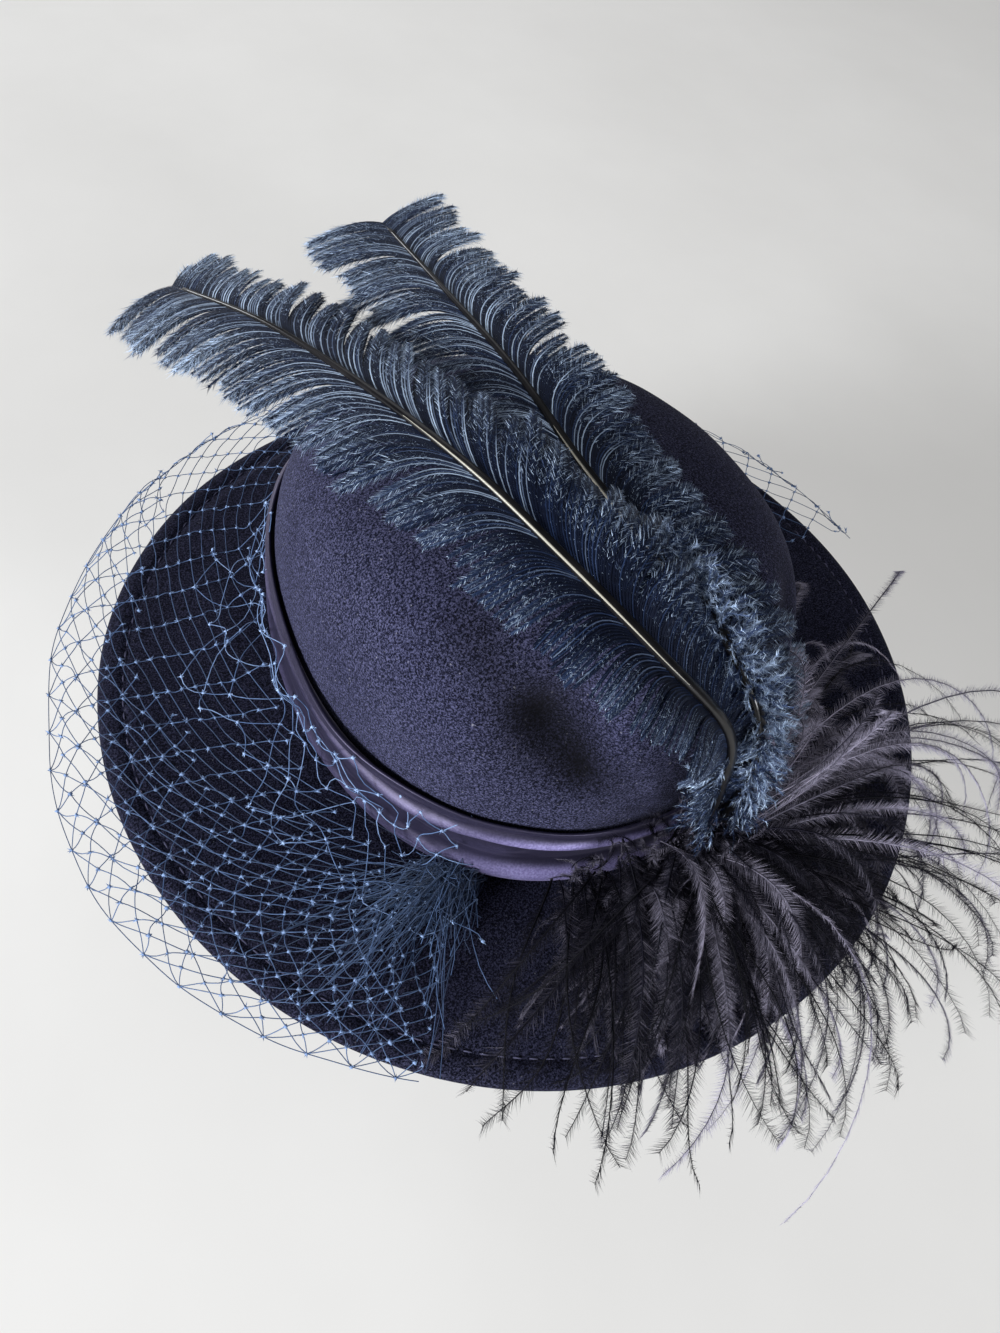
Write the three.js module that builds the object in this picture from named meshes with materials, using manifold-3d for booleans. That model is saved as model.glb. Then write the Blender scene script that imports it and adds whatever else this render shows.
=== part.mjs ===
// A felt dress hat with a pinched crown, a wide brim with a stitched rolled edge, a draped satin band,
// a gathered net veil, two trimmed plumes and a spray of thin flues.
// Millimetres. The origin is the centre of the head oval at the foot of the crown, +Z is up, -Y is the front.
import * as THREE from 'three';
import Module from 'manifold-3d';

const wasm = await Module();
wasm.setup();

// Head oval and felt
const HEAD_HALF_LENGTH = 102.6;
const HEAD_HALF_WIDTH = 86.6;
const OVAL_POWER = 2.2;
const FELT = 2.4;
const SEAM_GAP = 0.35;

// Crown
const CROWN_HEIGHT = 107;
const CROWN_SQUARENESS = 4.3;
const CROWN_FRONT_RISE = 0.208;
const CROWN_TAPER = 0.01;
const CROWN_LEAN = { x: -5.5, y: -5.8 };
const PINCH = { x: 38, y: -93, z: 90, depth: 12, across: 13, tall: 27 };

// Brim
const BRIM_HALF_LENGTH = 160.4;
const BRIM_HALF_WIDTH = 162.8;
const BRIM_SHIFT = { x: 6.3, y: -13.2 };
const BRIM_EDGE_HEIGHT = -1.2;
const BRIM_SIDE_TILT = 3.5;
const BRIM_WAVE = 3.8;
const COLLAR_HEIGHT = 14;

// Band
const BAND_HEIGHT = 42;
const BAND_FOOT = 1.2;
const SATIN = 1.3;
const BAND_FOLD = 1.5;

// Veil
const NET = 1.2;
const VEIL_START = 236;
const VEIL_END = 8;
const VEIL_OVERHANG = 17;
const VEIL_COLUMNS = 40;
const VEIL_ROWS = 6;
const VEIL_HOLE = 0.84;

// Hub of the feathers, in front of the band
const HUB = { x: 14, y: -116.9, z: 36, rx: 17, ry: 10.3, rz: 20 };

const radians = (degrees) => (degrees * Math.PI) / 180;
const mix = (a, b, t) => a + (b - a) * t;
const signedPower = (value, power) => Math.sign(value) * Math.abs(value) ** power;

function smooth(low, high, value) {
  const t = Math.min(1, Math.max(0, (value - low) / (high - low)));
  return t * t * (3 - 2 * t);
}

function evenly(count) {
  return Array.from({ length: count }, (_, i) => i / count);
}

// Builds one closed solid from loops of points. A ring joins its last loop to its first,
// and any other skin is closed by a fan at each end.
function skin(loops, ring) {
  const width = loops[0].length;
  const positions = loops.flat(2);
  const index = [];
  const spans = ring ? loops.length : loops.length - 1;
  for (let i = 0; i < spans; i++) {
    const row = i * width;
    const next = ((i + 1) % loops.length) * width;
    for (let j = 0; j < width; j++) {
      const k = (j + 1) % width;
      index.push(row + j, next + j, next + k, row + j, next + k, row + k);
    }
  }
  if (!ring) {
    closeEnd(positions, index, loops[0], 0, false);
    closeEnd(positions, index, loops.at(-1), (loops.length - 1) * width, true);
  }
  return facingOut(positions, index);
}

function closeEnd(positions, index, loop, first, flip) {
  const middle = positions.length / 3;
  for (let axis = 0; axis < 3; axis++) {
    positions.push(loop.reduce((sum, point) => sum + point[axis], 0) / loop.length);
  }
  for (let j = 0; j < loop.length; j++) {
    const a = first + j;
    const b = first + ((j + 1) % loop.length);
    if (flip) index.push(middle, b, a);
    else index.push(middle, a, b);
  }
}

// Turns the faces outwards, judged by the sign of the enclosed volume.
function facingOut(positions, index) {
  let volume = 0;
  for (let i = 0; i < index.length; i += 3) {
    const [a, b, c] = [0, 1, 2].map((n) => new THREE.Vector3().fromArray(positions, 3 * index[i + n]));
    volume += a.dot(b.cross(c));
  }
  if (volume < 0) index.reverse();
  const geometry = new THREE.BufferGeometry();
  geometry.setAttribute('position', new THREE.Float32BufferAttribute(positions, 3));
  geometry.setIndex(index);
  geometry.computeVertexNormals();
  return geometry;
}

function toManifold(geometry) {
  const vertProperties = new Float32Array(geometry.attributes.position.array);
  const triVerts = new Uint32Array(geometry.index.array);
  return new wasm.Manifold(new wasm.Mesh({ numProp: 3, vertProperties, triVerts }));
}

function fuse(geometries) {
  const solid = geometries.map(toManifold).reduce((whole, piece) => whole.add(piece));
  const mesh = solid.getMesh();
  return facingOut([...mesh.vertProperties], [...mesh.triVerts]);
}

// A point of an oval between an ellipse and a rectangle
function oval(angle, halfWidth, halfLength) {
  return [
    halfWidth * signedPower(Math.cos(angle), 2 / OVAL_POWER),
    halfLength * signedPower(Math.sin(angle), 2 / OVAL_POWER),
  ];
}

// Pushes a felt point in where the fingers pinch the front of the crown
function pinched([x, y, z]) {
  let [px, py] = [x, y];
  for (const side of [-1, 1]) {
    const across = Math.hypot(x - side * PINCH.x, y - PINCH.y) / PINCH.across;
    const tall = (z - PINCH.z) / PINCH.tall;
    const push = PINCH.depth * Math.exp(-(across ** 2) - tall ** 2);
    px -= side * 0.6 * push;
    py += 0.8 * push;
  }
  return [px, py, z];
}

// The crown's wall at a share of its height. The inset is measured in from the outer face.
function crownPoint(angle, rise, inset) {
  const round = (1 - Math.max(0, rise) ** CROWN_SQUARENESS) ** (1 / CROWN_SQUARENESS);
  const reach = round * (1 - CROWN_TAPER * rise);
  const [x, y] = oval(angle, (HEAD_HALF_WIDTH - inset) * reach, (HEAD_HALF_LENGTH - inset) * reach);
  const frontRise = 1 - (CROWN_FRONT_RISE * y) / HEAD_HALF_LENGTH;
  const z = (CROWN_HEIGHT - inset) * rise * frontRise;
  return pinched([x + CROWN_LEAN.x * rise, y + CROWN_LEAN.y * rise, z]);
}

// The outer wall at a real height, moved out by an offset
function wallPoint(angle, height, offset) {
  const frontRise = 1 - CROWN_FRONT_RISE * signedPower(Math.sin(angle), 2 / OVAL_POWER);
  const rise = height / (CROWN_HEIGHT * frontRise);
  const [x, y] = crownPoint(angle, rise, -offset);
  return [x, y, height];
}

function crown() {
  const segments = 44;
  const outerRings = 15;
  const innerRings = 10;
  const loops = [];
  const riseAt = (step) => Math.sin((Math.PI / 2) * step) ** 0.62;
  for (let i = outerRings; i >= 0; i--) {
    const rise = riseAt((i / outerRings) * 0.985);
    loops.push(evenly(segments).map((t) => crownPoint(2 * Math.PI * t, rise, 0)));
  }
  for (let i = 0; i <= innerRings; i++) {
    const rise = riseAt((i / innerRings) * 0.985);
    loops.push(evenly(segments).map((t) => crownPoint(2 * Math.PI * t, rise, FELT)));
  }
  return skin(loops, false);
}

// Height of the brim's outline, which dips at the front and back and lifts at the sides
function brimEdge(angle) {
  return BRIM_EDGE_HEIGHT + BRIM_SIDE_TILT * Math.cos(angle) + BRIM_WAVE * Math.cos(2 * angle);
}

function brimRim(angle, beyond) {
  return [
    BRIM_SHIFT.x + (BRIM_HALF_WIDTH + beyond) * Math.cos(angle),
    BRIM_SHIFT.y + (BRIM_HALF_LENGTH + beyond) * Math.sin(angle),
  ];
}

// A point between the head oval, reach 0, and the brim's rim, reach 1, at a drop below the top face
function brimPoint(angle, reach, beyond, drop) {
  const foot = oval(angle, HEAD_HALF_WIDTH, HEAD_HALF_LENGTH);
  const rim = brimRim(angle, beyond);
  const height = mix(-SEAM_GAP, brimEdge(angle), reach ** 1.4) - drop;
  return [mix(foot[0], rim[0], reach), mix(foot[1], rim[1], reach), height];
}

// The brim's section, in order round it: share of the way to the rim, step in from the rim, drop from the top
const BRIM_SECTION = [
  { reach: 0, beyond: 0, drop: 0 },
  { reach: 0.33, beyond: 0, drop: 0 },
  { reach: 0.7, beyond: 0, drop: 0 },
  { reach: 1, beyond: -9.5, drop: 0.6 },
  { reach: 1, beyond: -6, drop: 0.1 },
  { reach: 1, beyond: -2, drop: 1.3 },
  { reach: 1, beyond: 0, drop: 3.6 },
  { reach: 1, beyond: -1.5, drop: 5.6 },
  { reach: 1, beyond: -6, drop: 4.9 },
  { reach: 1, beyond: -10, drop: 4.2 },
  { reach: 1, beyond: -10.5, drop: 2.8 },
  { reach: 0.33, beyond: 0, drop: FELT },
  { reach: 0.02, beyond: 0, drop: FELT },
];

function brimLoop(angle) {
  const collar = (inset, z) => wallPoint(angle, z, -inset);
  const outside = FELT + SEAM_GAP;
  const inside = outside + FELT;
  return [
    collar(inside, -FELT / 2),
    collar(inside, COLLAR_HEIGHT),
    collar(outside, COLLAR_HEIGHT),
    collar(outside, -SEAM_GAP),
    ...BRIM_SECTION.map(({ reach, beyond, drop }) => brimPoint(angle, reach, beyond, drop)),
  ];
}

function brim() {
  const segments = 60;
  return skin(evenly(segments).map((t) => brimLoop(2 * Math.PI * t)), true);
}

// How far the satin stands out: long folds that drift slowly round the crown
function bandFold(angle, share) {
  const drift = 0.55 * Math.sin(angle + 0.6) + 0.2 * Math.sin(3 * angle);
  return BAND_FOLD * (0.5 + 0.5 * Math.cos(2 * Math.PI * (2.4 * share + drift)));
}

function bandLoop(angle) {
  const steps = 9;
  const back = [0, 0.5, 1];
  const topEase = (share) => 1.3 * smooth(0.8, 1, share);
  const heightAt = (share) => BAND_FOOT + BAND_HEIGHT * share;
  const outer = evenly(steps + 1).map((t) => {
    const share = (t * (steps + 1)) / steps;
    const hem = smooth(0, 0.1, share) * smooth(1, 0.9, share);
    const offset = SEAM_GAP + SATIN + topEase(share) + hem * bandFold(angle, share);
    return wallPoint(angle, heightAt(share), offset);
  });
  const inner = back.map((share) => wallPoint(angle, heightAt(share), SEAM_GAP + topEase(share)));
  return [...outer, ...inner.reverse()];
}

function band() {
  const segments = 56;
  return skin(evenly(segments).map((t) => bandLoop(2 * Math.PI * t)), true);
}

// The veil's net as a sheet: along runs from the gather to its far end, out from the band to past the rim
function veilPoint(along, out, lift) {
  const gather = 1 - smooth(0, 0.3, along);
  const rimAngle = radians(mix(VEIL_START, VEIL_END, along));
  const footAngle = radians(mix(VEIL_START, VEIL_END, along * (1 - 0.75 * gather)));
  const climb = 26 * (1 - smooth(0, 0.16, out)) * (1 - gather);
  const foot = wallPoint(footAngle, 3, SATIN + BAND_FOLD + 5.5 - 3 * (climb / 26));
  const rim = brimRim(rimAngle, VEIL_OVERHANG);
  const reach = out ** 0.9;
  const surface = mix(1.5, brimEdge(rimAngle) + 1.5, reach ** 1.4);
  const droop = 7 * smooth(0.86, 1, out) ** 2;
  const height = surface + 1.2 + climb - droop + lift;
  return [mix(foot[0], rim[0], reach), mix(foot[1], rim[1], reach), height];
}

// A plate of diamond meshes, each a rim of four bars round an open hole
function veil() {
  const positions = [];
  const index = [];
  const known = new Map();
  const vertex = (i, j, lift) => {
    const key = `${i.toFixed(4)},${j.toFixed(4)},${lift}`;
    if (!known.has(key)) {
      known.set(key, positions.length / 3);
      positions.push(...veilPoint(i / VEIL_COLUMNS, j / VEIL_ROWS, lift));
    }
    return known.get(key);
  };
  const quad = (a, b, c, d) => index.push(a, b, c, a, c, d);
  const isCell = (i, j) => i > 0 && i < VEIL_COLUMNS && j > 0 && j < VEIL_ROWS;
  const corners = [[1, 0], [0, 1], [-1, 0], [0, -1]];
  for (let i = 1; i < VEIL_COLUMNS; i++) {
    for (let j = 1; j < VEIL_ROWS; j++) {
      if ((i + j) % 2 === 0) continue;
      corners.forEach(([ax, ay], n) => {
        const [bx, by] = corners[(n + 1) % 4];
        const edge = (lift) => [vertex(i + ax, j + ay, lift), vertex(i + bx, j + by, lift)];
        const hole = (lift) => [
          vertex(i + VEIL_HOLE * ax, j + VEIL_HOLE * ay, lift),
          vertex(i + VEIL_HOLE * bx, j + VEIL_HOLE * by, lift),
        ];
        const [topEdge, topHole, lowEdge, lowHole] = [edge(NET), hole(NET), edge(0), hole(0)];
        quad(topEdge[0], topEdge[1], topHole[1], topHole[0]);
        quad(lowEdge[1], lowEdge[0], lowHole[0], lowHole[1]);
        quad(topHole[0], topHole[1], lowHole[1], lowHole[0]);
        if (!isCell(i + ax + bx, j + ay + by)) quad(topEdge[1], topEdge[0], lowEdge[0], lowEdge[1]);
      });
    }
  }
  return facingOut(positions, index);
}

// Where each quill runs, from the hub to its blunt cut tip
const PLUMES = {
  plume_front: {
    half: 22,
    vaneFrom: 0.2,
    path: [
      { x: 9, y: -116.4, z: 55.2 },
      { x: 7, y: -114, z: 78 },
      { x: 2, y: -107, z: 104 },
      { x: -20.6, y: -93, z: 127 },
      { x: -38.8, y: -66, z: 139.5 },
      { x: -52.9, y: -38.3, z: 144 },
      { x: -69.2, y: -3, z: 142 },
      { x: -85.3, y: 36.9, z: 133 },
      { x: -100.9, y: 73.1, z: 119 },
    ],
  },
  plume_back: {
    half: 25,
    vaneFrom: 0.28,
    path: [
      { x: 18, y: -116.4, z: 55.3 },
      { x: 18, y: -114, z: 78 },
      { x: 16, y: -105, z: 101 },
      { x: 6, y: -84, z: 119 },
      { x: -6.9, y: -57.3, z: 127.5 },
      { x: -14.4, y: -30.8, z: 131 },
      { x: -20.5, y: 5.6, z: 134 },
      { x: -27.6, y: 43.1, z: 133 },
      { x: -31.8, y: 92.4, z: 125 },
    ],
  },
};
const QUILL = 1.7;

// A plume is one ribbon: a thick quill and a thin vane on each side, notched into locks that sweep to the tip
function plume({ half, vaneFrom, path }) {
  const curve = new THREE.CatmullRomCurve3(path.map(({ x, y, z }) => new THREE.Vector3(x, y, z)));
  const sections = 34;
  const loops = [];
  for (let i = 0; i <= sections; i++) {
    const share = i / sections;
    const centre = curve.getPointAt(share);
    const ahead = curve.getTangentAt(share);
    const side = new THREE.Vector3(ahead.y, -ahead.x, 0).normalize();
    const up = side.clone().cross(ahead).normalize();
    const quill = mix(QUILL, 0.8, share);
    const vane = half * smooth(vaneFrom - 0.08, vaneFrom + 0.14, share);
    const notch = i % 2 === 0 ? 1 : 0.8;
    const sweep = 0.45 * vane * notch;
    const at = (across, lift, forward) =>
      centre.clone().addScaledVector(side, across).addScaledVector(up, lift)
        .addScaledVector(ahead, forward * smooth(1, 0.75, share)).toArray();
    const wide = Math.max(vane * notch, quill + 0.2);
    loops.push([
      at(wide, 0.4 - 0.12 * vane, sweep),
      at(mix(quill, wide, 0.45), 0.9, sweep * 0.5),
      at(0, quill, 0),
      at(-mix(quill, wide, 0.45), 0.9, sweep * 0.5),
      at(-wide, 0.4 - 0.12 * vane, sweep),
      at(-wide, -0.5 - 0.12 * vane, sweep),
      at(-mix(quill, wide, 0.45), -0.2, sweep * 0.5),
      at(0, -quill, 0),
      at(mix(quill, wide, 0.45), -0.2, sweep * 0.5),
      at(wide, -0.5 - 0.12 * vane, sweep),
    ]);
  }
  return skin(loops, false);
}

// The locks of the spray: heading in plan, reach from the hub, arch above it, height of the tip, width
const SPRAY_LOCKS = [
  { heading: 28, reach: 208, arch: 22, tip: 6, width: 9 },
  { heading: 14, reach: 170, arch: 30, tip: 8, width: 10 },
  { heading: 4, reach: 196, arch: 24, tip: -12, width: 9 },
  { heading: -8, reach: 160, arch: 26, tip: 4, width: 11 },
  { heading: -20, reach: 150, arch: 22, tip: -18, width: 10 },
  { heading: -34, reach: 134, arch: 20, tip: -26, width: 10 },
  { heading: -47, reach: 112, arch: 20, tip: -14, width: 11 },
  { heading: -58, reach: 136, arch: 22, tip: -36, width: 9 },
  { heading: -72, reach: 96, arch: 20, tip: -30, width: 11 },
  { heading: -84, reach: 116, arch: 22, tip: -48, width: 10 },
  { heading: -98, reach: 118, arch: 24, tip: -44, width: 9 },
  { heading: -112, reach: 96, arch: 20, tip: -22, width: 10 },
  { heading: -130, reach: 62, arch: 8, tip: 9, width: 12 },
  { heading: -148, reach: 104, arch: 20, tip: -12, width: 8 },
];

function lock({ heading, reach, arch, tip, width }) {
  const steps = 7;
  const sides = 5;
  const turn = radians(heading);
  const loops = [];
  for (let i = 0; i <= steps; i++) {
    const t = i / steps;
    const distance = reach * (1 - (1 - t) ** 1.3);
    const height = mix(HUB.z, tip, t ** 2) + 4 * arch * t * (1 - t);
    const swell = (width / 2) * (0.35 + 0.65 * Math.sin(Math.PI * Math.min(1, t + 0.12)) ** 0.5);
    const half = t === 1 ? 0.6 : swell;
    loops.push(evenly(sides).map((s) => {
      const roll = 2 * Math.PI * s;
      const across = half * Math.cos(roll);
      const lift = half * 0.45 * Math.sin(roll);
      return [
        HUB.x + distance * Math.cos(turn) - across * Math.sin(turn) + lift * t * Math.cos(turn),
        HUB.y + distance * Math.sin(turn) + across * Math.cos(turn) + lift * t * Math.sin(turn),
        height + lift,
      ];
    }));
  }
  return skin(loops, false);
}

function featherSpray() {
  const loops = [];
  for (let i = 1; i < 8; i++) {
    const tilt = (Math.PI * i) / 8;
    loops.push(evenly(12).map((t) => [
      HUB.x + HUB.rx * Math.sin(tilt) * Math.cos(2 * Math.PI * t),
      HUB.y + HUB.ry * Math.sin(tilt) * Math.sin(2 * Math.PI * t),
      HUB.z + HUB.rz * Math.cos(tilt),
    ]));
  }
  return fuse([skin(loops, false), ...SPRAY_LOCKS.map(lock)]);
}

const NAVY_FELT = { color: 0x23243a, roughness: 0.95, metalness: 0 };
const PURPLE_SATIN = { color: 0x4a4468, roughness: 0.4, metalness: 0 };
const BLUE_NET = { color: 0x3f5a80, roughness: 0.7, metalness: 0 };
const NAVY_FEATHER = { color: 0x1c2a45, roughness: 0.8, metalness: 0 };
const SMOKE_FLUE = { color: 0x34303c, roughness: 0.9, metalness: 0 };

const hat = new THREE.Group();

function place(name, geometry, finish) {
  const mesh = new THREE.Mesh(geometry, new THREE.MeshStandardMaterial(finish));
  mesh.name = name;
  hat.add(mesh);
}

place('crown', crown(), NAVY_FELT);
place('brim', brim(), NAVY_FELT);
place('band', band(), PURPLE_SATIN);
place('veil', veil(), BLUE_NET);
place('plume_front', plume(PLUMES.plume_front), NAVY_FEATHER);
place('plume_back', plume(PLUMES.plume_back), NAVY_FEATHER);
place('feather_spray', featherSpray(), SMOKE_FLUE);

export default hat;
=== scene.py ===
"""Looks of a felt dress hat: napped felt, a stitched rolled brim, draped satin, a knotted net veil,
two trimmed plumes and a spray of curling flues. Lengths are millimetres in the part's own frame."""
import math
from types import SimpleNamespace

import bpy
import numpy as np
from mathutils import Matrix, Vector


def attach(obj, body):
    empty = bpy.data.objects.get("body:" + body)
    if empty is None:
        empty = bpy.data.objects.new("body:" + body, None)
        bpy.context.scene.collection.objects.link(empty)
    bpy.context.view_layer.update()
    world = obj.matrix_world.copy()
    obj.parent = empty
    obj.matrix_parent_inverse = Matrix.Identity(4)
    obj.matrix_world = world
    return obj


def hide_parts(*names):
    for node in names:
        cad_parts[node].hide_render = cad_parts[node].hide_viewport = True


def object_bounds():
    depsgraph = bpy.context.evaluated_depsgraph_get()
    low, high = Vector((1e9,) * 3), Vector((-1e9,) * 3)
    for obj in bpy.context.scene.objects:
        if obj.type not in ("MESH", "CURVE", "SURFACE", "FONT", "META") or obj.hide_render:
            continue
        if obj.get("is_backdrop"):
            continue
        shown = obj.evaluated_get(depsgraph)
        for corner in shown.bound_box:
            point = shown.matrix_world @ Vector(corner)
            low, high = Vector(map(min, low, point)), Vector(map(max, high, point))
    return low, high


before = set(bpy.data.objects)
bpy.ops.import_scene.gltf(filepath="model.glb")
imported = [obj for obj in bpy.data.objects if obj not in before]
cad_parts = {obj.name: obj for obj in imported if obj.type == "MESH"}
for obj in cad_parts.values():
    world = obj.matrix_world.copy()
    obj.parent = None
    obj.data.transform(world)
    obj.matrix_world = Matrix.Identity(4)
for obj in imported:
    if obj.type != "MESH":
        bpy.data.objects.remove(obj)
CAD_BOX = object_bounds()

MM = 0.001
TURN = 2 * math.pi

# Head oval, felt and crown, as in the solids
HALF_LENGTH = 102.6
HALF_WIDTH = 86.6
OVAL_POWER = 2.2
FELT = 2.4
SEAM_GAP = 0.35
CROWN_HEIGHT = 107.0
SQUARENESS = 4.3
FRONT_RISE = 0.208
TAPER = 0.01
LEAN_X = -5.5
LEAN_Y = -5.8
PINCH = {"x": 38.0, "y": -93.0, "z": 90.0, "depth": 12.0, "across": 13.0, "tall": 27.0}
PINCH_LINE = np.array([[54.0, -65.0, 107.0], [27.5, -94.0, 72.0]])
CROWN_COLUMNS = 190
CROWN_ROWS = {"outside": 78, "inside": 30}

# Brim
BRIM_LENGTH = 160.4
BRIM_WIDTH = 162.8
BRIM_X = 6.3
BRIM_Y = -13.2
BRIM_BEND = 1.4
EDGE_HEIGHT = -1.2
SIDE_TILT = 3.5
EDGE_WAVE = 3.8
COLLAR_HEIGHT = 14.0
HEM = 9.5
BRIM_COLUMNS = 256
STITCHES = 178
STITCH_HALF = 1.5
WAVE_SIZE = 70.0
WAVE_HEIGHT = 0.9

# Loose fibres on the felt
FIBRE_WIDTH = 0.16
CROWN_FIBRES = 17000
BRIM_FIBRES = 24000
LINT_SHARE = 0.045

# Band; a stretch starts, is full, fades and ends at shares of a turn
BAND_FOOT = 1.2
BAND_HEIGHT = 42.0
SATIN = 0.7
FRONT_STRETCH = (0.6, 0.67, 0.85, 0.95)
POCKET_STRETCH = (0.672, 0.71, 0.79, 0.83)
# Painted light: the stretch of the band's front whose satin is coloured lighter.
PAINTED_LIGHT_STRETCH = (0.645, 0.71, 0.8, 0.86)
PLEAT_TURN = 0.565
PLEAT_WIDTH = 0.04

# Veil; angles in degrees round the hat
VEIL_START = 236.0
VEIL_END = 8.0
VEIL_OVERHANG = 17.0
VEIL_CLIMB = 26.0
VEIL_DROOP = 7.0
VEIL_CLEAR = 1.5
THREAD = 0.19
NET_COLUMNS = 92
NET_ROWS = 15
NET_SKEW = 0.4
HEAP = {"columns": 22, "rows": 8, "start": 140.0, "step": 4.3, "skew": 0.8, "top": -36.0, "row": 8.0}
TUFT_ANGLE = 235.0
TUFT_THREADS = 420

# Feathers
BARBS = 250
LOCK_SIZES = (3, 8)
CUT_AHEAD = 2.5
LEFT = -1
RIGHT = 1
HUB = np.array([14.0, -116.9, 36.0])
HUB_SIZE = np.array([17.0, 10.3, 20.0])
LONG_FLUES = 7
SHORT_FLUES = 13
UPRIGHT_FLUES = 9
DOWN_CURLS = 190
DOWN_ON_KNOT = 100
SIDE_HEADING = -45.0
UP = np.array([0.1, 0.1, 1.0])

# Camera at the photograph's viewing angle
CAMERA = {"azimuth": -36.5, "elevation": 54.2, "roll": 18.0, "distance": 396.0, "lens": 27.0}
CAMERA_TARGET = Vector((-6.2, -13.2, 0.0))
FLOOR_HEIGHT = -95.0


# Small helpers

def table(columns, *rows):
    """A short table: its rows as dictionaries, by column."""
    return [dict(zip(columns.split(), row)) for row in rows]


def signed_power(value, power):
    return np.sign(value) * np.abs(value) ** power


def mix(a, b, t):
    return a + (b - a) * t


def smooth(low, high, value):
    t = np.clip((value - low) / (high - low), 0, 1)
    return t * t * (3 - 2 * t)


def steps(count):
    """Even shares from 0 to 1, in one row."""
    return np.linspace(0, 1, count)[None]


def window(value, start, full, fading, end):
    """Rises from 0 at start to 1 at full, and falls from fading to 0 at end."""
    return smooth(start, full, value) * smooth(end, fading, value)


def bell(value, width):
    return np.exp(-((value / width) ** 2))


def unit(vectors):
    return vectors / np.maximum(np.linalg.norm(vectors, axis=-1, keepdims=True), 1e-9)


def stack(x, y, z):
    return np.stack(np.broadcast_arrays(x, y, z), -1)


def lumps(points, size, seed):
    """Smooth pseudo-random value from -1 to 1 at each point, in lumps of a given size."""
    rng = np.random.default_rng(seed)
    waves = rng.normal(size=(7, 3)) * (2.2 / size)
    phases = rng.uniform(0, TURN, 7)
    return np.sin(points @ waves.T + phases).mean(-1) * 1.8


def wander(points, size, seed, rise, spread):
    """Smooth pseudo-random shift of each point: sideways, and up by about rise."""
    up = rise + spread * lumps(points, 0.8 * size, seed + 2)
    return stack(lumps(points, size, seed), lumps(points, size, seed + 1), up)


def link(name, data):
    made = bpy.data.objects.new(name, data)
    bpy.context.scene.collection.objects.link(made)
    return made


class Soup:
    """Gathers points, their shades and faces, and makes one mesh piece of them."""

    def __init__(self):
        self.points = []
        self.shades = []
        self.faces = []
        self.count = 0

    def add(self, points, faces, shade):
        points = points.reshape(-1, 3)
        self.points.append(points)
        self.shades.append(np.broadcast_to(np.ravel(shade), len(points)))
        self.faces.append(np.asarray(faces) + self.count)
        self.count += len(points)

    def piece(self, name, material, slot, replaces=None):
        mesh = bpy.data.meshes.new(name)
        points = np.concatenate(self.points) * MM
        mesh.vertices.add(len(points))
        mesh.vertices.foreach_set("co", points.astype(np.float32).ravel())
        corners = np.concatenate([faces.ravel() for faces in self.faces])
        sizes = np.concatenate([np.full(len(faces), faces.shape[1]) for faces in self.faces])
        starts = np.concatenate([[0], np.cumsum(sizes)[:-1]])
        mesh.loops.add(len(corners))
        mesh.loops.foreach_set("vertex_index", corners.astype(np.int32))
        mesh.polygons.add(len(sizes))
        mesh.polygons.foreach_set("loop_start", starts.astype(np.int32))
        mesh.polygons.foreach_set("use_smooth", np.full(len(sizes), True))
        attribute = mesh.attributes.new("shade", "FLOAT", "POINT")
        attribute.data.foreach_set("value", np.concatenate(self.shades).astype(np.float32))
        mesh.update(calc_edges=True)
        mesh.materials.append(material)
        piece = link(name, mesh)
        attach(piece, "root")
        if replaces:
            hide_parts(replaces)
        return piece


def grid_faces(rows, columns, ring=False):
    """Quads of a grid whose columns close on themselves, and its rows too for a ring."""
    index = np.arange(rows * columns).reshape(rows, columns)
    here, there = (index, np.roll(index, -1, 0)) if ring else (index[:-1], index[1:])
    quads = [here, there, np.roll(there, -1, 1), np.roll(here, -1, 1)]
    return np.stack(quads, -1).reshape(-1, 4)


def add_capped(soup, rings, tips, shade_at):
    """A skin over a row of rings, with a fan to a tip at each end; shade_at takes the points."""
    rows, columns = rings.shape[:2]
    points = np.concatenate([rings.reshape(-1, 3), tips])
    first = np.arange(columns) + soup.count
    last = first + (rows - 1) * columns
    tip = soup.count + rows * columns
    soup.add(points, grid_faces(rows, columns), shade_at(points))
    soup.faces.append(np.stack([first, np.roll(first, -1), np.full(columns, tip)], -1))
    soup.faces.append(np.stack([np.roll(last, -1), last, np.full(columns, tip + 1)], -1))


def add_tubes(soup, lines, radius, shade, sides):
    """Tubes along many lines at once; lines is (count, stations, 3)."""
    count, stations, _ = lines.shape
    along = unit(np.gradient(lines, axis=1))
    side = unit(np.cross(along, [0.12, 0.07, 0.99]))
    up = np.cross(side, along)
    roll = np.arange(sides) * TURN / sides
    ring = side[:, :, None] * np.cos(roll)[:, None] + up[:, :, None] * np.sin(roll)[:, None]
    radius = np.broadcast_to(radius, (count, stations))
    points = lines[:, :, None] + radius[:, :, None, None] * ring
    index = np.arange(count * stations * sides).reshape(count, stations, sides)
    here, there = index[:, :-1], index[:, 1:]
    quads = np.stack([here, there, np.roll(there, -1, 2), np.roll(here, -1, 2)], -1)
    shades = np.broadcast_to(np.asarray(shade, float), (count, stations))
    soup.add(points, quads.reshape(-1, 4), np.repeat(shades.ravel(), sides))


def add_hairs(soup, rng, roots, tips, width, shade):
    """Straight tapering hairs, a little lighter at the tip."""
    facing = rng.normal(size=roots.shape) * 0.45 + [0.1, 0.0, 1.0]
    across = unit(np.cross(tips - roots, facing)) * (width / 2)
    points = np.stack([roots - across, roots + across, tips], 1)
    shades = np.stack([shade, shade, np.minimum(shade + 0.12, 1)], 1)
    soup.add(points, np.arange(3 * len(roots)).reshape(-1, 3), shades)


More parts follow.
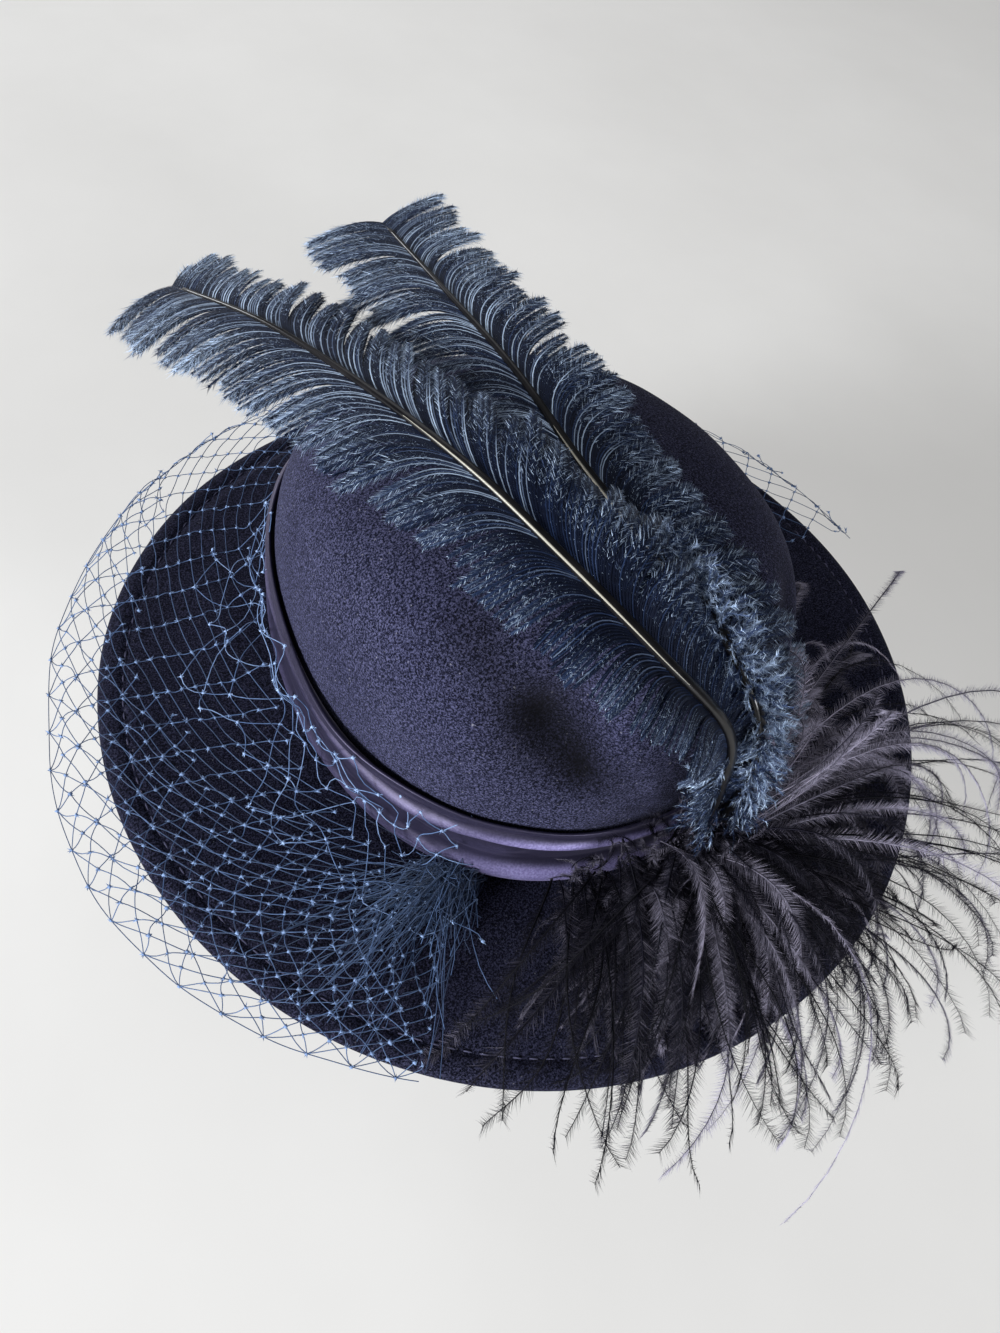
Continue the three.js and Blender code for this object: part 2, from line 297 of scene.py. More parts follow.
def add_ribbons(soup, lines, width, facing, shade):
    """Flat ribbons along many lines; width and shade are (count, stations)."""
    count, stations, _ = lines.shape
    side = unit(np.cross(unit(np.gradient(lines, axis=1)), facing)) * (width / 2)[..., None]
    points = np.stack([lines - side, lines + side], 2)
    index = np.arange(count * stations * 2).reshape(count, stations, 2)
    quads = np.stack([index[:, :-1, 0], index[:, :-1, 1], index[:, 1:, 1], index[:, 1:, 0]], -1)
    soup.add(points, quads.reshape(-1, 4), np.repeat(shade.ravel(), 2))


def smooth_path(points, count):
    """Even points along a Catmull-Rom curve through the given ones."""
    points = np.asarray(points, float)
    padded = np.vstack([2 * points[0] - points[1], points, 2 * points[-1] - points[-2]])
    t = np.linspace(0, 1, 24, endpoint=False)[:, None]
    parts = []
    for a, b, c, d in zip(padded, padded[1:], padded[2:], padded[3:]):
        bend = 2 * a - 5 * b + 4 * c - d
        parts.append(0.5 * (2 * b + (c - a) * t + bend * t**2 + (3 * b - a - 3 * c + d) * t**3))
    return resample(np.vstack([*parts, points[-1:]]), count)


def resample(line, count):
    gaps = np.linalg.norm(np.diff(line, axis=0), axis=1)
    travelled = np.concatenate([[0], np.cumsum(gaps)])
    wanted = np.linspace(0, travelled[-1], count)
    return np.stack([np.interp(wanted, travelled, line[:, k]) for k in range(line.shape[1])], -1)


# Forms shared with the solids

def oval(angle, half_width, half_length):
    x, y = (signed_power(turn(angle), 2 / OVAL_POWER) for turn in (np.cos, np.sin))
    return half_width * x, half_length * y


def pinched(x, y, z):
    push_x, push_y = 0, 0
    for side in (-1, 1):
        across = np.hypot(x - side * PINCH["x"], y - PINCH["y"]) / PINCH["across"]
        tall = (z - PINCH["z"]) / PINCH["tall"]
        push = PINCH["depth"] * np.exp(-(across**2) - tall**2)
        push_x = push_x - side * 0.6 * push
        push_y = push_y + 0.8 * push
    return stack(x + push_x, y + push_y, z)


def crown_point(angle, round_share, rise, inset):
    reach = round_share * (1 - TAPER * rise)
    x, y = oval(angle, (HALF_WIDTH - inset) * reach, (HALF_LENGTH - inset) * reach)
    z = (CROWN_HEIGHT - inset) * rise * (1 - FRONT_RISE * y / HALF_LENGTH)
    return pinched(x + LEAN_X * rise, y + LEAN_Y * rise, z)


def round_share_at(rise):
    """How far out the crown's curve is at a share of its height."""
    return (1 - rise**SQUARENESS) ** (1 / SQUARENESS)


def wall_point(angle, height, offset):
    front = 1 - FRONT_RISE * signed_power(np.sin(angle), 2 / OVAL_POWER)
    rise = height / (CROWN_HEIGHT * front)
    point = crown_point(angle, round_share_at(np.maximum(rise, 0)), rise, -offset)
    return stack(point[..., 0], point[..., 1], height)


def brim_edge(angle):
    return EDGE_HEIGHT + SIDE_TILT * np.cos(angle) + EDGE_WAVE * np.cos(2 * angle)


def brim_rim(angle, beyond):
    return (BRIM_X + (BRIM_WIDTH + beyond) * np.cos(angle), BRIM_Y + (BRIM_LENGTH + beyond) * np.sin(angle))


def brim_point(angle, reach, beyond, drop):
    foot = oval(angle, HALF_WIDTH, HALF_LENGTH)
    rim = brim_rim(angle, beyond)
    height = mix(-SEAM_GAP, brim_edge(angle), reach**BRIM_BEND) - drop
    return stack(mix(foot[0], rim[0], reach), mix(foot[1], rim[1], reach), height)


# Materials

def new_material(name):
    material = bpy.data.materials.new(name)
    material.use_nodes = True
    tree = material.node_tree
    return material, tree, tree.nodes["Principled BSDF"]


def node(tree, kind, values=None, **links):
    """A new node with its values set and its inputs linked."""
    made = tree.nodes.new(kind)
    for key, value in (values or {}).items():
        if hasattr(made, key):
            setattr(made, key, value)
        else:
            made.inputs[key].default_value = value
    for key, source in links.items():
        tree.links.new(source, made.inputs[key])
    return made


def noise(tree, scale, detail, roughness=0.55):
    where = node(tree, "ShaderNodeTexCoord").outputs["Object"]
    values = {"Scale": scale, "Detail": detail, "Roughness": roughness}
    return node(tree, "ShaderNodeTexNoise", values, Vector=where).outputs["Fac"]


def mesh_shade(tree):
    return node(tree, "ShaderNodeAttribute", {"attribute_name": "shade"}).outputs["Fac"]


def ramp(tree, factor, *stops):
    """Colours along a factor; a stop is a place and a colour or a grey."""
    made = node(tree, "ShaderNodeValToRGB", Fac=factor)
    elements = made.color_ramp.elements
    while len(elements) < len(stops):
        elements.new(0.5)
    for element, (place, colour) in zip(elements, stops):
        element.position = place
        element.color = (*colour, 1.0) if isinstance(colour, tuple) else (colour, colour, colour, 1.0)
    return made.outputs["Color"]


def blend(tree, a, b, factor=1.0, kind="MULTIPLY"):
    """Two colours multiplied or mixed; each value is a socket or fixed."""
    made = node(tree, "ShaderNodeMix", {"data_type": "RGBA", "blend_type": kind})
    for place, value in ((0, factor), (6, a), (7, b)):
        if isinstance(value, bpy.types.NodeSocket):
            tree.links.new(value, made.inputs[place])
        else:
            made.inputs[place].default_value = (*value, 1.0) if isinstance(value, tuple) else value
    return made.outputs[2]


def bump(tree, shader, height, strength, distance):
    values = {"Strength": strength, "Distance": distance * MM}
    made = node(tree, "ShaderNodeBump", values, Height=height)
    tree.links.new(made.outputs["Normal"], shader.inputs["Normal"])


def finish(tree, shader, colour, **values):
    """Links the colour, and sets on the shader's own sockets what is the same all over."""
    tree.links.new(colour, shader.inputs["Base Color"])
    for name, value in values.items():
        socket = shader.inputs[name.replace("_", " ")]
        socket.default_value = (*value, 1.0) if isinstance(value, tuple) else value


def felt_material():
    material, tree, shader = new_material("wool_felt")
    grain = noise(tree, 1500.0, 4.0, 0.85)
    base = ramp(tree, grain, (0.43, (0.001, 0.0013, 0.005)), (0.505, (0.014, 0.0155, 0.037)),
                (0.575, (0.078, 0.08, 0.15)))
    blotch = ramp(tree, noise(tree, 28.0, 3.0), (0.35, (0.82, 0.82, 0.86)), (0.65, 1.0))
    lint = ramp(tree, noise(tree, 900.0, 1.0), (0.735, 0.0), (0.78, 1.0))
    linted = blend(tree, blend(tree, base, blotch), (0.16, 0.16, 0.2), lint, "MIX")
    # Painted shade: the felt's colour is darkened by the mesh's shade, along the pinch creases and over the
    # whole brim.
    painted_shade = ramp(tree, mesh_shade(tree), (0.0, (0.02, 0.02, 0.025)), (1.0, 1.0))
    finish(tree, shader, blend(tree, linted, painted_shade), Roughness=0.95, Specular_IOR_Level=0.08,
           Sheen_Weight=0.04, Sheen_Roughness=0.5, Sheen_Tint=(0.5, 0.5, 0.72))
    bump(tree, shader, grain, 0.35, 0.35)
    return material


def fibre_material():
    material, tree, shader = new_material("felt_fibre")
    colour = ramp(tree, mesh_shade(tree), (0.0, (0.008, 0.009, 0.022)), (0.7, (0.07, 0.07, 0.13)),
                  (1.0, (0.36, 0.36, 0.42)))
    finish(tree, shader, colour, Roughness=0.9)
    return material


def satin_material():
    material, tree, shader = new_material("draped_satin")
    weave = noise(tree, 1400.0, 2.0, 0.5)
    base = ramp(tree, weave, (0.35, (0.2, 0.175, 0.38)), (0.7, (0.37, 0.335, 0.64)))
    drift = ramp(tree, noise(tree, 60.0, 2.0), (0.3, (0.85, 0.85, 0.88)), (0.7, 1.0))
    # Painted shade in the fold valleys and on the inside face, and painted light over the front stretch,
    # multiplied into the satin's colour.
    painted_shade_and_light = ramp(tree, mesh_shade(tree), (0.0, (0.06, 0.06, 0.07)), (1.0, 1.0))
    finish(tree, shader, blend(tree, blend(tree, base, drift), painted_shade_and_light), Roughness=0.46, Metallic=0.35,
           Specular_IOR_Level=0.75, Specular_Tint=(0.8, 0.74, 1.0), Sheen_Weight=0.08,
           Sheen_Roughness=0.35, Sheen_Tint=(0.7, 0.65, 0.95))
    bump(tree, shader, weave, 0.25, 0.12)
    return material


def strand_material(name, dark, middle, middle_at, light, roughness, specular, sheen, tint):
    """Feather and thread: coloured by the strand's own shade, with a fine mottle."""
    material, tree, shader = new_material(name)
    colour = ramp(tree, mesh_shade(tree), (0.0, dark), (middle_at, middle), (1.0, light))
    mottle = ramp(tree, noise(tree, 420.0, 2.0), (0.3, (0.7, 0.7, 0.72)), (0.7, 1.15))
    finish(tree, shader, blend(tree, colour, mottle), Roughness=roughness, Specular_IOR_Level=specular,
           Sheen_Weight=sheen, Sheen_Roughness=0.4, Sheen_Tint=tint)
    return material


STRANDS = table(
    "name dark middle middle_at light roughness specular sheen tint",
    ("net_thread", (0.002, 0.005, 0.02), (0.09, 0.155, 0.31), 0.5, (0.4, 0.55, 0.84),
     0.6, 0.3, 0.1, (0.6, 0.75, 1.0)),
    ("plume_barbs", (0.003, 0.0055, 0.018), (0.024, 0.045, 0.115), 0.3, (0.62, 0.78, 1.0),
     0.5, 0.25, 0.05, (0.6, 0.72, 1.0)),
    ("spray_flue", (0.002, 0.002, 0.004), (0.009, 0.0085, 0.017), 0.2, (0.7, 0.655, 0.84),
     0.7, 0.12, 0.03, (0.8, 0.75, 0.95)))


def quill_material():
    material, tree, shader = new_material("glossy_quill")
    streak = noise(tree, 160.0, 2.0)
    dark = ramp(tree, streak, (0.3, (0.003, 0.003, 0.004)), (0.7, (0.012, 0.011, 0.012)))
    # Where the mesh shade is 1 the colour turns cream: the pale line, partly the quill's own edge and partly
    # a painted highlight.
    colour = blend(tree, dark, (0.42, 0.4, 0.33), mesh_shade(tree), "MIX")
    finish(tree, shader, colour, Roughness=0.28, Specular_IOR_Level=0.3, Coat_Weight=0.15,
           Coat_Roughness=0.12)
    bump(tree, shader, streak, 0.2, 0.2)
    return material


def floor_material():
    material, tree, shader = new_material("pale_floor")
    colour = ramp(tree, noise(tree, 6.0, 4.0), (0.3, (0.5, 0.495, 0.48)), (0.7, (0.55, 0.545, 0.53)))
    finish(tree, shader, colour, Roughness=0.85, Emission_Color=(1.0, 0.98, 0.95), Emission_Strength=0.3)
    return material


# Crown and brim

def crown_rises(count):
    """Shares of the crown's height at even steps along its curve, from the top down."""
    turn = np.linspace(math.pi / 2, 0, 4001)
    out = np.cos(turn) ** (2 / SQUARENESS)
    rise = np.sin(turn) ** (2 / SQUARENESS)
    even = resample(np.stack([out * HALF_LENGTH, rise * CROWN_HEIGHT], -1), count + 1)[1:]
    return even[:, 1] / CROWN_HEIGHT


def crown_grid(rows, inset):
    """Rings of the crown from the top down, with slow dents and the two creases."""
    rise = crown_rises(rows)[:, None]
    angle = np.arange(CROWN_COLUMNS)[None] * TURN / CROWN_COLUMNS
    points = crown_point(angle, round_share_at(np.minimum(rise, 1)), rise, inset)
    dents = 0.5 * lumps(points, 42, 3) * smooth(50, 62, points[..., 2])
    points[..., 2] += dents
    points[..., 1] += 0.6 * dents
    return points + creased(points)


def from_crease(points, side):
    """Distance from the sloping line of one pinch, and the share of the way down it."""
    top, low = PINCH_LINE * [side, 1, 1]
    down = low - top
    share = np.clip((points - top) @ down / (down @ down), 0, 1)
    return np.linalg.norm(points - top - share[..., None] * down, axis=-1), share


def creased(points):
    """Push into the crown at the creases of the two pinches."""
    push = 0
    for side in (-1, 1):
        away, share = from_crease(points, side)
        amount = bell(away, 7) * window(share, -0.3, 0.5, 0.8, 1.3)
        push = push + amount[..., None] * [-1.2 * side, 2.6, -1.8]
    return push


def pinch_painted_shade(points):
    """How light the felt is: full, but darkened by painted shade along the creases of the two pinches."""
    dark = 0
    for side in (-1, 1):
        away, share = from_crease(points, side)
        dark = dark + bell(away, 13) * mix(0.6, 1, smooth(0.1, 0.5, share))
    return np.clip(1 - 0.97 * dark, 0, 1)


def add_crown(felt):
    outer = crown_grid(CROWN_ROWS["outside"], 0)
    inner = crown_grid(CROWN_ROWS["inside"], FELT)[::-1]
    tops = np.stack([outer[0].mean(0), inner[-1].mean(0)])
    soup = Soup()
    add_capped(soup, np.concatenate([outer, inner]), tops, pinch_painted_shade)
    soup.piece("crown_felt", felt, "felt", "crown")
    return outer


# The brim's section: share of the way out, step past the rim, drop, and rows to the next place
BRIM_SECTION = table(
    "reach beyond drop rows",
    (0.0, 0.0, 0.0, 12),
    (0.33, 0.0, 0.0, 12),
    (0.7, 0.0, 0.0, 10),
    (1.0, -11.5, 0.0, 4),
    (1.0, -9.5, 0.9, 4),
    (1.0, -7.5, 0.1, 4),
    (1.0, -4.5, 0.2, 4),
    (1.0, -1.6, 1.5, 3),
    (1.0, 0.0, 3.7, 3),
    (1.0, -1.5, 5.6, 4),
    (1.0, -6.0, 4.9, 4),
    (1.0, -10.0, 4.2, 2),
    (1.0, -10.5, 2.8, 16),
    (0.33, 0.0, FELT, 8),
    (0.02, 0.0, FELT, 2))

# The collar before it, inside the crown: step in from the crown's foot, height, and rows
COLLAR_SECTION = table(
    "inset height rows",
    (2 * FELT + SEAM_GAP, -FELT / 2, 6),
    (2 * FELT + SEAM_GAP, COLLAR_HEIGHT, 2),
    (FELT + SEAM_GAP, COLLAR_HEIGHT, 6),
    (FELT + SEAM_GAP, -SEAM_GAP, 2))


def brim_wave(points):
    """The slow rise and fall of the brim's felt."""
    return WAVE_HEIGHT * lumps(points * [1, 1, 0], WAVE_SIZE, 8)


def brim_grid():
    angle = np.arange(BRIM_COLUMNS) * TURN / BRIM_COLUMNS
    places = [(wall_point(angle, row["height"], -row["inset"]), row["rows"]) for row in COLLAR_SECTION]
    for row in BRIM_SECTION:
        places.append((brim_point(angle, row["reach"], row["beyond"], row["drop"]), row["rows"]))
    rings = []
    for (here, rows), (there, _) in zip(places, places[1:] + places[:1]):
        rings += [mix(here, there, k / rows) for k in range(rows)]
    points = np.array(rings)
    for _ in range(2):
        points = 0.5 * points + 0.25 * (np.roll(points, 1, 0) + np.roll(points, -1, 0))
    far = smooth(18, 60, np.hypot(points[..., 0], points[..., 1]) - HALF_WIDTH)
    points[..., 2] += far * brim_wave(points)
    return points


def add_brim(felt):
    points = brim_grid()
    soup = Soup()
    # Painted shade: the brim's felt carries shade 0.5, so it is coloured darker than the crown's felt.
    soup.add(points, grid_faces(len(points), BRIM_COLUMNS, True), 0.5)
    soup.piece("brim_felt", felt, "felt", "brim")
    return points


def add_stitches(thread):
    """Short stitches that lie in the groove of the turned edge."""
    middle = np.arange(STITCHES) * TURN / STITCHES
    angle = middle[:, None] + np.linspace(-STITCH_HALF, STITCH_HALF, 5) / BRIM_LENGTH
    sunk = np.array([0.5, 0.05, 0.0, 0.05, 0.5])
    lines = brim_point(angle, 1.0, -HEM, 0.35 + sunk)
    lines[..., 2] += brim_wave(lines)
    soup = Soup()
    add_tubes(soup, lines, np.array([0.14, 0.28, 0.32, 0.28, 0.14]), 0.55, 6)
    soup.piece("brim_stitches", thread, "felt")


def scatter(points, count, rng):
    """Random places on a grid of points, with the normal and one direction in the surface."""
    a, b = points[:-1], points[1:]
    down = b - a
    across = np.roll(a, -1, 1) - a
    normal = np.cross(down, across)
    area = np.linalg.norm(normal, axis=-1).ravel()
    pick = rng.choice(len(area), count, p=area / area.sum())
    u, v = rng.uniform(size=(2, count, 1))
    a, down, across, normal = (values.reshape(-1, 3)[pick] for values in (a, down, across, normal))
    return a + u * down + v * across, unit(normal), unit(across)


def add_nap(fibre, name, points, wanted, seed):
    """Wool fibres that lie on the felt and lift at one end, and a little pale lint."""
    rng = np.random.default_rng(seed)
    place, normal, across = scatter(points, wanted, rng)
    # Fewer fibres where the painted shade of the pinches is dark, so the dent stays dark.
    kept = pinch_painted_shade(place) > rng.uniform(0.1, 0.95, wanted)
    place, normal, across = place[kept], normal[kept], across[kept]
    count = len(place)
    turn = rng.uniform(0, TURN, (count, 1))
    heading = across * np.cos(turn) + np.cross(normal, across) * np.sin(turn)
    lint = rng.uniform(size=count) < LINT_SHARE
    length = rng.uniform(0.5, 1.8, count) + np.where(lint, rng.uniform(0, 2.5, count), 0)
    rise = rng.uniform(0.05, 0.5, (count, 1))
    roots = place + normal * 0.03
    tips = roots + (heading + normal * rise) * length[:, None]
    shade = np.where(lint, rng.uniform(0.7, 1, count), 0.75 * rng.uniform(0, 1, count) ** 1.6)
    soup = Soup()
    add_hairs(soup, rng, roots, tips, FIBRE_WIDTH, shade)
    soup.piece(name, fibre, "felt")


# Band

# Long folds of the satin, at the back and at the front: height off the wall, place up the band, width
SATIN_FOLDS = table(
    "height place width front_height front_place front_width",
    (2.2, 0.17, 0.09, 4.2, 0.27, 0.15),
    (1.9, 0.72, 0.06, 3.2, 0.84, 0.06),
    (1.2, 0.94, 0.035, 0.0, 0.94, 0.035))


def band_offset(angle, share):
    """How far the satin stands out: long folds, and creases that wander round the crown."""
    turn = angle / TURN
    front = window(turn, *FRONT_STRETCH)
    near_hub = window(turn, *POCKET_STRETCH)
    place = share + (1 - front) * (0.035 * np.sin(2 * angle + 0.6) + 0.02 * np.sin(5 * angle))
    pocket = 1.5 * near_hub * bell(place - 0.6, 0.07)
    offset = 1.6 * front * (1 - near_hub) * bell(place - 0.6, 0.1) - pocket
    for row in SATIN_FOLDS:
        here = {key: mix(row[key], row["front_" + key], front) for key in ("height", "place", "width")}
        offset = offset + here["height"] * bell(place - here["place"], here["width"])
    drawn = stack(angle * 15, share * BAND_HEIGHT + 5 * np.sin(3 * angle), 0.0)
    fine = stack(angle * 9, share * BAND_HEIGHT - 4 * np.sin(2 * angle), 0.0)
    creases = (0.5 * lumps(drawn, 5.5, 61) + 0.22 * lumps(fine, 2.4, 62)) * np.sin(np.pi * share)
    return offset + creases * mix(1, 0.6, front)


def band_level(angle, share):
    return BAND_FOOT + BAND_HEIGHT * (share + 0.012 * np.sin(5 * angle) * share)


def add_band(satin):
    """The satin, one closed skin: up its outer face and back down inside."""
    columns, outer_rows, inner_rows = 270, 64, 10
    angle = np.arange(columns)[None] * TURN / columns
    share = np.linspace(0, 1, outer_rows)[:, None]
    back = np.linspace(1, 0, inner_rows)[:, None]
    pleat = bell(angle / TURN - PLEAT_TURN, PLEAT_WIDTH)
    ease = (1.1 + 2.2 * pleat) * smooth(0.8, 1, share)
    offset = window(share, 0, 0.05, 0.97, 1) * band_offset(angle, share)
    offset = offset - 2.4 * pleat * bell(share - 0.85, 0.03)
    stand = SEAM_GAP + 0.25 + SATIN + np.maximum(ease + offset, 0)
    outer = wall_point(angle, band_level(angle, share), stand)
    inner_ease = (1.0 + 2.0 * pleat) * smooth(0.85, 1, back)
    inner = wall_point(angle, band_level(angle, back), SEAM_GAP + 0.15 + inner_ease)
    points = np.concatenate([outer, inner])
    # The band's shade: painted light over the front stretch, painted shade in the fold valleys, and full
    # painted shade on the inside face.
    painted_light = mix(0.26, 1, window(angle / TURN, *PAINTED_LIGHT_STRETCH))
    shade = np.concatenate([smooth(0.4, 3.0, offset) ** 1.5 * painted_light, np.zeros((inner_rows, columns))])
    soup = Soup()
    soup.add(points, grid_faces(len(points), columns, True)[:, ::-1], shade)
    band = soup.piece("satin_band", satin, "satin", "band")


# Veil

def veil_point(along, out, lift):
    """A place on the net, drawn in to the gather at its start and lying on the band further on."""
    gather = 1 - smooth(0, 0.6, along)
    rim_angle = np.radians(mix(VEIL_START, VEIL_END, along))
    foot_angle = np.radians(mix(VEIL_START, VEIL_END, along * (1 - gather)))
    climbed = (1 - smooth(0, 0.16, out)) * smooth(0.25, 0.6, along)
    foot = wall_point(foot_angle, 3.0, 6.5 - 3 * climbed)
    rim = brim_rim(rim_angle, VEIL_OVERHANG * smooth(-0.04, 0.2, along))
    reach = mix(0.1 * smooth(0.6, 0.1, along), 1, np.maximum(out, 0) ** 0.9)
    surface = mix(VEIL_CLEAR, brim_edge(rim_angle) + VEIL_CLEAR, reach**BRIM_BEND)
    droop = VEIL_DROOP * smooth(0.86, 1, out) ** 2
    height = surface + 0.8 + VEIL_CLIMB * climbed - droop + lift
    return stack(mix(foot[..., 0], rim[0], reach), mix(foot[..., 1], rim[1], reach), height)


def folded_point(i, j):
    """The net out to its folded edge, then back over itself to a ragged cut."""
    share = j / NET_ROWS
    back = np.maximum(share - 1, 0)
    along = (i + NET_SKEW * (j - NET_ROWS)) / NET_COLUMNS
    point = veil_point(np.clip(along, 0, 1), 1 - np.abs(1 - share), 2.8 * smooth(0, 0.1, back))
    amount = 0.9 + 1.5 * smooth(0.15, 0.5, back)
    return point + amount[..., None] * wander(point, 30, 11, 0.4, 0.5)


def over_hat(angle, out, lift):
    """A place on the brim, or on the band where out, from the band's foot, is below 0."""
    band = wall_point(angle, np.clip(-out, 1.5, 60), 5.2 + lift - 3.2 * smooth(30, 44, -out))
    brim = brim_point(angle, np.clip((out + 6) / 74, 0, 1), 0.0, -1.6 - lift)
    return mix(band, brim, smooth(-3, 3, out)[..., None])


def crumpled_point(i, j):
    """The loose cut end of the net, heaped on the band and the brim."""
    angle = np.radians(HEAP["start"] + HEAP["step"] * i + HEAP["skew"] * j)
    point = over_hat(angle, HEAP["top"] + HEAP["row"] * j + 6 * np.sin(1.1 * i), 0.8)
    return point + 4.2 * wander(point, 15, 31, 0.7, 0.6)


def net_pairs(columns, rows):
    """Pairs of lattice places that a thread joins; knots sit where column plus row is even."""
    i, j = np.meshgrid(np.arange(columns + 1), np.arange(rows + 1), indexing="ij")
    knots = np.stack([i, j], -1)[(i + j) % 2 == 0]
    ends = np.concatenate([knots + [1, side] for side in (-1, 1)])
    pairs = np.stack([np.concatenate([knots, knots]), ends], 1)
    inside = (ends[:, 0] <= columns) & (ends[:, 1] >= 0) & (ends[:, 1] <= rows)
    return pairs[inside].astype(float)


def add_net(soup, rng, pairs, place, shade):
    """Knotted net between pairs of lattice places, which place turns into points."""
    t = steps(5)[..., None]
    lattice = mix(pairs[:, None, 0], pairs[:, None, 1], t)
    lines = place(lattice[..., 0], lattice[..., 1])
    lines = lines + np.sin(np.pi * t) * rng.normal(size=(len(pairs), 1, 3)) * 0.35
    add_tubes(soup, lines, THREAD, shade + rng.uniform(-0.2, 0.1, (len(pairs), 1)), 3)
    knots = np.unique(pairs.reshape(-1, 2), axis=0)
    add_knots(soup, rng, place(knots[:, 0], knots[:, 1]), shade + 0.25)


def add_knots(soup, rng, centres, shade):
    """Star-shaped knots: a rough bead and a few stray ends."""
    count = len(centres)
    corners = np.array([[1, 0, 0], [0, 1, 0], [-1, 0, 0], [0, -1, 0], [0, 0, 1], [0, 0, -1]], float)
    size = rng.uniform(0.55, 0.9, (count, 1, 1)) * rng.uniform(0.75, 1.25, (count, 6, 3))
    above = [[k, (k + 1) % 4, 4] for k in range(4)]
    below = [[(k + 1) % 4, k, 5] for k in range(4)]
    index = np.arange(count)[:, None, None] * 6 + np.array(above + below)
    soup.add(centres[:, None] + corners * size, index.reshape(-1, 3), shade)
    roots = np.repeat(centres, 5, 0)
    heading = unit(rng.normal(size=roots.shape) * [1, 1, 0.5])
    tips = roots + heading * rng.uniform(1.0, 1.8, (len(roots), 1))
    add_hairs(soup, rng, roots, tips, 0.6, np.full(len(roots), shade))


def add_veil(thread):
    rng = np.random.default_rng(21)
    soup = Soup()
    pairs = net_pairs(NET_COLUMNS + 12, 2 * NET_ROWS)
    middle = pairs.mean(1)
    along = (middle[:, 0] + NET_SKEW * (middle[:, 1] - NET_ROWS)) / NET_COLUMNS
    cut = mix(0.85, 0.32, smooth(0.2, 0.36, along)) * smooth(0.5, 0.42, along)
    cut = cut + 0.07 * np.sin(along * 90) + rng.normal(size=len(cut)) * 0.02
    kept = (along > 0) & (along < 1) & (middle[:, 1] / NET_ROWS - 1 < cut)
    add_net(soup, rng, pairs[kept], folded_point, 0.4)
    crumpled = net_pairs(HEAP["columns"], HEAP["rows"])
    crumpled = crumpled[rng.uniform(size=len(crumpled)) > 0.1]
    add_net(soup, rng, crumpled, crumpled_point, 0.6)
    edge = np.linspace(0, 1, 240)
    selvage = folded_point(edge * NET_COLUMNS, np.full_like(edge, NET_ROWS))
    add_tubes(soup, selvage[None], THREAD, 0.3, 3)
    soup.piece("net_veil", thread, "net", "veil")


def add_gather(thread):
    """The dark tuft where the net is sewn down, with threads that run on into the net."""
    rng = np.random.default_rng(5)
    each = (TUFT_THREADS, 1)
    t = steps(8)[..., None]
    angle = np.radians(rng.normal(TUFT_ANGLE, 2.6, each))
    start = over_hat(angle, rng.uniform(-15, 2, each), rng.uniform(0, 1.2, each))
    into_net = rng.uniform(size=each) < 0.6
    heading = np.radians(np.where(into_net, rng.normal(203, 25, each), rng.normal(240, 12, each)))
    longest = np.where(into_net, 66, 24)[..., None]
    length = mix(4, longest, rng.uniform(0, 1, (*each, 1)) ** 2)
    flat = stack(np.cos(heading), np.sin(heading), -0.1)
    curl = rng.normal(size=(*each, 3)) * [2.2, 2.2, 1.2]
    lines = start + flat * length * t + curl * np.sin(np.pi * t * rng.uniform(0.8, 2.4, (*each, 1)))
    lines[..., 2] = np.maximum(lines[..., 2], 1.6 + 1.2 * rng.uniform(0, 1, each))
    tone = np.where(into_net, 0.4, 0.16) * rng.uniform(0.2, 1.3, each)
    soup = Soup()
    add_tubes(soup, lines, 0.15, tone * mix(0.35, 1, t[..., 0]), 3)
    soup.piece("veil_gather", thread, "net")


# Feather parts

# Fine hairs on a strand: width, slant along it, disorder, sag, and the share of hairs lightened as painted
# glints
VANE_HAIRS = {"width": 0.2, "sweep": 1.6, "fuzz": 0.25, "sag": 0.12, "painted_glint_share": 0.3}
TUFT_HAIRS = {"width": 0.22, "sweep": 1.2, "fuzz": 0.4, "sag": 0.1, "painted_glint_share": 0.15}
FLUE_HAIRS = {"width": 0.17, "sweep": 0.85, "fuzz": 0.14, "sag": 0.2, "painted_glint_share": 0}


def add_barbules(soup, rng, lines, facing, shade, reach, width, sweep, fuzz, sag, painted_glint_share):
    """Fine hairs down both edges of many barbs; shade and reach are (barbs, places)."""
    stations, places = lines.shape[1], reach.shape[1]
    place = np.linspace(0, stations - 1, places + 2)[1:-1]
    low = np.minimum(place.astype(int), stations - 2)
    roots = mix(lines[:, low], lines[:, low + 1], (place - low)[:, None])
    along = unit(lines[:, low + 1] - lines[:, low])
    out = unit(np.cross(along, facing[:, low]))
    for hand in (LEFT, RIGHT):
        heading = unit(along * sweep + out * hand + rng.normal(size=roots.shape) * fuzz)
        length = reach * rng.uniform(0.55, 1.15, reach.shape)
        tips = roots + heading * length[..., None]
        tips[..., 2] -= length * rng.uniform(0, sag, reach.shape)
        tone = shade + rng.normal(size=reach.shape) * 0.06
        # Painted glints: a share of the hairs is coloured lighter, standing in for short highlights.
        painted_glints = rng.uniform(size=reach.shape) < painted_glint_share
        tone = np.clip(tone + painted_glints * rng.uniform(0.2, 0.75, reach.shape), 0, 1)
        add_hairs(soup, rng, roots.reshape(-1, 3), tips.reshape(-1, 3), width, tone.ravel())


# Plumes

# Barbs along one side: share of the quill, reach, lean onward at the tip, arch, droop, how far they run
# along the quill before they turn out, and how full their down is
SIDE_COLUMNS = "share reach lean crest droop lead down"

